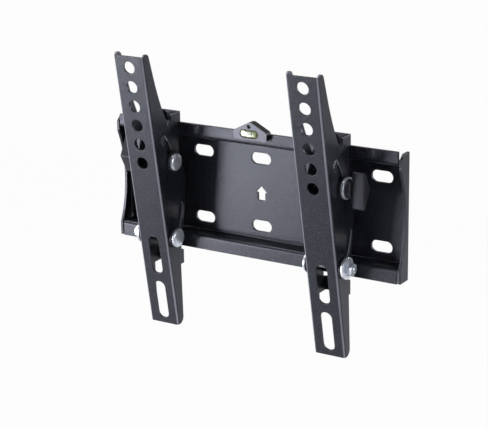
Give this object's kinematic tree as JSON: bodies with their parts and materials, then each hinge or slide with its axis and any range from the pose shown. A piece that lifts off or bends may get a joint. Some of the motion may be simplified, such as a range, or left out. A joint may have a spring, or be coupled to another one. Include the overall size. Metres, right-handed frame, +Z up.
{
  "type": "tv wall mount",
  "caption": "Tilting wall mount for a small flat television: slotted steel wall plate with folded rails, bubble level, and hooked tilting arms locked by wing knobs.",
  "frame": {"origin": "middle of the grid of wall slots, on the plate's back face, where the wall is", "axes": "+X to the viewer's right along the rails, +Z up, the mount stands out from the wall towards -Y"},
  "size_m": [0.2424, 0.0619, 0.2173],
  "materials": {
    "powder_coat": "fine texture, semi-gloss",
    "level_plastic": "satin",
    "vial": "clear over green liquid",
    "zinc": "zinc plated",
    "insert_brass": "turned",
    "black_plastic": "matte"
  },
  "bodies": {
    "wall": {"wall_plate": "powder_coat", "level_housing": "level_plastic", "level_vial": "vial"},
    "left_hook": {"left_hook_bracket": "powder_coat", "left_upper_bolt": "zinc", "left_lower_bolt": "zinc", "left_upper_inner_guide": "black_plastic", "left_upper_outer_guide": "black_plastic", "left_upper_washer": "zinc", "left_lower_inner_guide": "black_plastic", "left_lower_outer_guide": "black_plastic", "left_lower_washer": "zinc", "left_nut": "zinc"},
    "left_arm": {"left_arm": "powder_coat"},
    "left_knob": {"left_knob": "black_plastic", "left_knob_insert": "insert_brass"},
    "right_hook": {"right_hook_bracket": "powder_coat", "right_upper_bolt": "zinc", "right_lower_bolt": "zinc", "right_upper_inner_guide": "black_plastic", "right_upper_outer_guide": "black_plastic", "right_upper_washer": "zinc", "right_lower_inner_guide": "black_plastic", "right_lower_outer_guide": "black_plastic", "right_lower_washer": "zinc", "right_nut": "zinc"},
    "right_arm": {"right_arm": "powder_coat"},
    "right_knob": {"right_knob": "black_plastic", "right_knob_insert": "insert_brass"}
  },
  "joints": [
    {"name": "left_rail_slide", "type": "slide", "parent": "wall", "child": "left_hook", "axis": [1, 0, 0], "range_m": [-0.0322, 0.049]},
    {"name": "left_tilt", "type": "hinge", "parent": "left_hook", "child": "left_arm", "pos_m": [-0.0752, -0.086, 0], "axis": [-1, 0, 0], "range_deg": [-0.9, 19.1]},
    {"name": "left_knob_turn", "type": "hinge", "parent": "left_hook", "child": "left_knob", "pos_m": [-0.0752, -0.0261, 0.0215], "axis": [-1, 0, 0], "range_deg": [0, 360]},
    {"name": "right_rail_slide", "type": "slide", "parent": "wall", "child": "right_hook", "axis": [1, 0, 0], "range_m": [-0.043, 0.0383]},
    {"name": "right_tilt", "type": "hinge", "parent": "right_hook", "child": "right_arm", "pos_m": [0.0691, -0.086, 0], "axis": [-1, 0, 0], "range_deg": [0, 20]},
    {"name": "right_knob_turn", "type": "hinge", "parent": "right_hook", "child": "right_knob", "pos_m": [0.0691, -0.0261, 0.0215], "axis": [1, 0, 0], "range_deg": [0, 360]}
  ]
}
